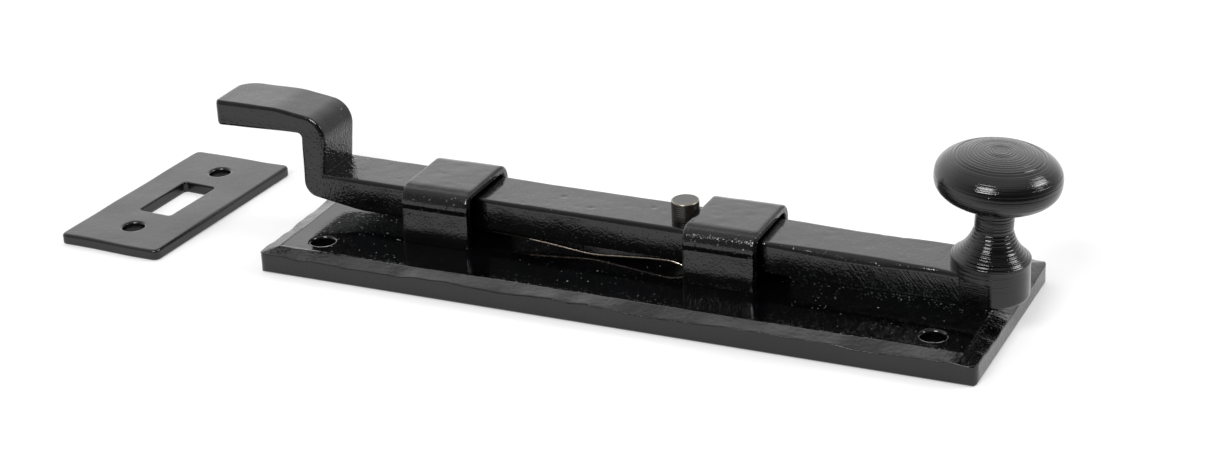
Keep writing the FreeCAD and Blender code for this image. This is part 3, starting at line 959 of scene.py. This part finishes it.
def make_spring():
    line = spring_middle_line()
    along = np.gradient(line, axis=0)
    along /= np.linalg.norm(along, axis=1)[:, None]
    section = rounded_ring(-SPRING_WIDTH / 2, SPRING_WIDTH / 2, SPRING_THICKNESS, 0.2, 16, 2)
    section -= (0, SPRING_THICKNESS / 2)
    rings = []
    for (x, z), (ax, az) in zip(line, along):
        rings.append([(x - az * height, across, z + ax * height) for across, height in section])
    points, faces = loft(capped(rings), flipped=True)
    piece = make_piece(
        "leaf_spring_strip", lay(points), faces, "bolt", ["leaf_spring"], SPRING_STEEL
    )

    # The bright sheared steel covers only the upper part of the edge, and only from its start along the
    # strip. The lower part of the edge faces the plate and keeps the dark blued steel as painted shade. The
    # part nearer the rivet, close under the bar, stays dark too.
    def on_bright_edge_band(x, y, z):
        above = z > np.interp(x, line[:, 0], line[:, 1]) + 0.02
        return above and x > SPRING_BRIGHT_EDGE_FROM and abs(y) > SPRING_WIDTH / 2 - 0.15

    paint(piece, points, SPRING_EDGE, on_bright_edge_band)
    weather(piece, [(12.0, 0.02)], 81)


def make_rivet():
    """Countersunk head flush with the bar's top, and the riveted foot under the spring."""
    strip_under = BAR_BOTTOM - SPRING_THICKNESS
    foot = strip_under - RIVET_HEAD_HEIGHT
    profile = [(0.0, foot), (1.4, foot + 0.03), (2.4, foot + 0.2), (3.1, foot + 0.6)]
    profile += [(RIVET_HEAD_RADIUS, strip_under - 0.1), (RIVET_HEAD_RADIUS - 0.1, strip_under)]
    profile += [(2.0, strip_under + 0.02), (2.0, BAR_TOP - RIVET_HEAD_HEIGHT)]
    profile += [(RIVET_HEAD_RADIUS, BAR_TOP - 0.05), (RIVET_HEAD_RADIUS - 0.2, BAR_TOP + 0.04)]
    profile += [(2.0, BAR_TOP + 0.08), (0.0, BAR_TOP + 0.1)]
    points, faces = loft(turned(profile, 64))
    points[:, 0] += RIVET_X
    piece = make_piece(
        "spring_rivet_head", lay(points), faces, "bolt", ["spring_rivet"], BAR_ENAMEL
    )
    weather(piece, [(2.5, 0.02)], 91)


# ---------------------------------------------------------------- the keep

def make_keep():
    half = np.array([KEEP_LENGTH, KEEP_WIDTH]) / 2
    slot_half = np.array(KEEP_SLOT) / 2
    slot_block = slot_half + 2.0
    hole_block = 5.0
    spread = KEEP_HOLE_SPACING / 2

    def slot_rim(x, y, size):
        return round_corners(np.array([x, y]) * size / slot_block, size, 1.2)

    def pulled_in(amount):
        return lambda offset: offset - np.sign(offset) * amount * (np.abs(offset) > slot_half - 1.0)

    hole = (0.0, hole_block, hole_block, round_rim, KEEP_HOLE_RADIUS + HOLE_EASE)
    openings = [(-spread, *hole), (0.0, 0.0, *slot_block, slot_rim, slot_half + 0.25), (spread, *hole)]
    insets = [0.0, 0.06, 0.2, 0.42, 0.7, 0.95]
    breaks_x = [-spread - hole_block, hole_block - spread, -slot_block[0]]
    breaks_x += [inset - half[0] for inset in insets]
    breaks_y = [-slot_block[1], -hole_block] + [inset - half[1] for inset in insets]
    lines = [spaced(mirrored(breaks), 0.8) for breaks in (breaks_x, breaks_y)]
    sheet = plate_sheet(*lines, openings, half, KEEP_CORNER)
    distance = from_edges(sheet[0], half, KEEP_CORNER)
    hole_steps = ((0.35, 0.12), (0.12, 0.35), (0.0, 0.7), (0.0, 2.4))
    slot_steps = ((0.15, 0.08), (0.25, 0.3), (0.25, 0.8), (0.25, 2.4))
    hole_rim = [(to_radius(KEEP_HOLE_RADIUS + grow), depth) for grow, depth in hole_steps]
    slot_rims = [(pulled_in(amount), depth) for amount, depth in slot_steps]
    points, faces = plate_shell(
        sheet, KEEP_HIGH[2] - edge_drop(distance, 0.85), edge_drop(distance, 0.45), (0.2, 0.5, 0.8),
        openings, [hole_rim, slot_rims, hole_rim],
    )
    c, s = math.cos(KEEP_TURN), math.sin(KEEP_TURN)
    centre = (KEEP_LOW + KEEP_HIGH) / 2
    beyond_slot = np.clip((np.abs(points[:, 1]) - slot_half[1]) / (half[1] - slot_half[1]), 0, 1)
    points[:, 0] -= points[:, 1] * beyond_slot * math.tan(KEEP_OUT_OF_SQUARE)
    x = points[:, 0] * c - points[:, 1] * s + centre[0]
    y = points[:, 0] * s + points[:, 1] * c + centre[1]
    points = np.stack([x, y, points[:, 2]], 1)
    piece = make_piece("keep_plate_forged", points, faces, "keep", ["keep_plate"], KEEP_ENAMEL)
    weather(piece, [(22.0, 0.28), (9.0, 0.06)], 101, where=above_table)


# ---------------------------------------------------------------- the setting

def make_floor():
    """A light table that ends a little way beyond the piece: its own glow keeps the shadows faint."""
    radius = 285.0
    points, faces = loft(turned([(radius, 0.0), (0.0, 0.0)], 96))
    points += (-50.0, 120.0, 0.0)
    mesh = bpy.data.meshes.new("floor")
    mesh.from_pydata((points * MM).tolist(), [], faces)
    floor = bpy.data.objects.new("floor", mesh)
    floor.location.z = -0.2 * MM
    bpy.context.scene.collection.objects.link(floor)
    material, tree, shader, _ = new_material("floor_white")
    set_inputs(tree, shader, [
        ("Base Color", (0.54, 0.54, 0.54, 1)), ("Roughness", 0.9), ("Specular IOR Level", 0.1),
        ("Emission Color", WHITE), ("Emission Strength", 0.36),
    ])
    mesh.materials.append(material)


def make_world():
    """The studio that the enamel mirrors: a bright backdrop behind and to the left, a plain
    ceiling, and a dim room at the front. What the camera sees past the table is white."""
    world = bpy.data.worlds.new("studio")
    bpy.context.scene.world = world
    world.use_nodes = True
    tree = world.node_tree
    backdrop = (-0.643, 0.766, 0.0)
    place = add_node(tree, "TexCoord").outputs["Generated"]
    level = add_node(tree, "VectorMath", [(0, place), (1, (1, 1, 0))], operation="MULTIPLY").outputs[0]
    level = add_node(tree, "VectorMath", [(0, level)], operation="NORMALIZE").outputs[0]
    facing = add_node(tree, "VectorMath", [(0, level), (1, backdrop)], operation="DOT_PRODUCT")
    share = add_node(tree, "MapRange", [("Value", facing.outputs["Value"]), ("From Min", -1.0)])
    brightest = 1.65
    stops = [(0.0, 0.1), (0.2, 0.25), (0.35, 0.44), (0.5, 0.65), (0.68, 0.95), (0.82, 1.35), (1.0, 1.6)]
    greys = ramp(tree, share.outputs["Result"], [(position, grey / brightest) for position, grey in stops])
    walls = calculate(tree, "MULTIPLY", greys, brightest)
    height = split(tree, place)[2]
    overhead = add_node(tree, "MapRange", [("Value", height), ("From Min", 0.62), ("From Max", 0.88)])
    ceiling = 0.88
    mixed = add_node(tree, "Mix", [(0, overhead.outputs["Result"]), (2, walls), (3, ceiling)])
    room = tree.nodes["Background"]
    set_inputs(tree, room, [("Color", WHITE), ("Strength", mixed.outputs[0])])
    white = add_node(tree, "Background", [("Color", WHITE), ("Strength", 1.2)])
    seen = add_node(tree, "LightPath").outputs["Is Camera Ray"]
    chosen = add_node(tree, "MixShader", [(0, seen), (1, room.outputs[0]), (2, white.outputs[0])])
    set_inputs(tree, tree.nodes["World Output"], [("Surface", chosen.outputs[0])])


def make_softbox(name, azimuth, elevation, width, height, radiance):
    """A soft light 1.2 m from the knob's foot, facing it; 0 azimuth is the front, 90 the right."""
    distance = 1.2
    a, e = math.radians(azimuth), math.radians(elevation)
    away = Vector((math.sin(a) * math.cos(e), -math.cos(a) * math.cos(e), math.sin(e)))
    data = bpy.data.lights.new(name, "AREA")
    data.shape = "RECTANGLE"
    data.size = width
    data.size_y = height
    data.energy = radiance * math.pi * width * height
    light = bpy.data.objects.new(name, data)
    centre = Vector((60.0, 0.0, 30.0)) * MM
    turn = away.to_track_quat("Z", "Y").to_matrix().to_4x4()
    light.matrix_world = Matrix.Translation(centre + away * distance) @ turn
    bpy.context.scene.collection.objects.link(light)


def make_camera():
    azimuth, elevation, roll = (math.radians(angle) for angle in (25.66, 24.72, -2.95))
    level = math.cos(elevation)
    back = Vector((math.sin(azimuth) * level, -math.cos(azimuth) * level, math.sin(elevation)))
    right = Vector((math.cos(azimuth), math.sin(azimuth), 0))
    up = back.cross(right)
    tilted_right = right * math.cos(roll) + up * math.sin(roll)
    tilted_up = up * math.cos(roll) - right * math.sin(roll)
    turn = Matrix((tilted_right, tilted_up, back)).transposed()
    data = bpy.data.cameras.new("camera")
    data.lens = 77.387
    data.sensor_width = 36.0
    camera = bpy.data.objects.new("camera", data)
    camera.matrix_world = Matrix.Translation(Vector((264.64, -573.49, 302.44)) * MM) @ turn.to_4x4()
    bpy.context.scene.collection.objects.link(camera)
    bpy.context.scene.camera = camera


make_backplate()
for staple_number, staple_name in enumerate(STAPLE_NAMES):
    make_staple(staple_name, 7 + staple_number)
make_bar()
make_round_end()
make_knob()
make_pin()
make_spring()
make_rivet()
make_keep()
make_floor()
make_world()
make_softbox("softbox_front", -4.0, 40.0, 0.50, 0.30, 22.0)
make_softbox("softbox_right", 114.0, 36.0, 0.50, 0.28, 14.0)
make_camera()
bpy.context.scene.view_settings.view_transform = "Standard"
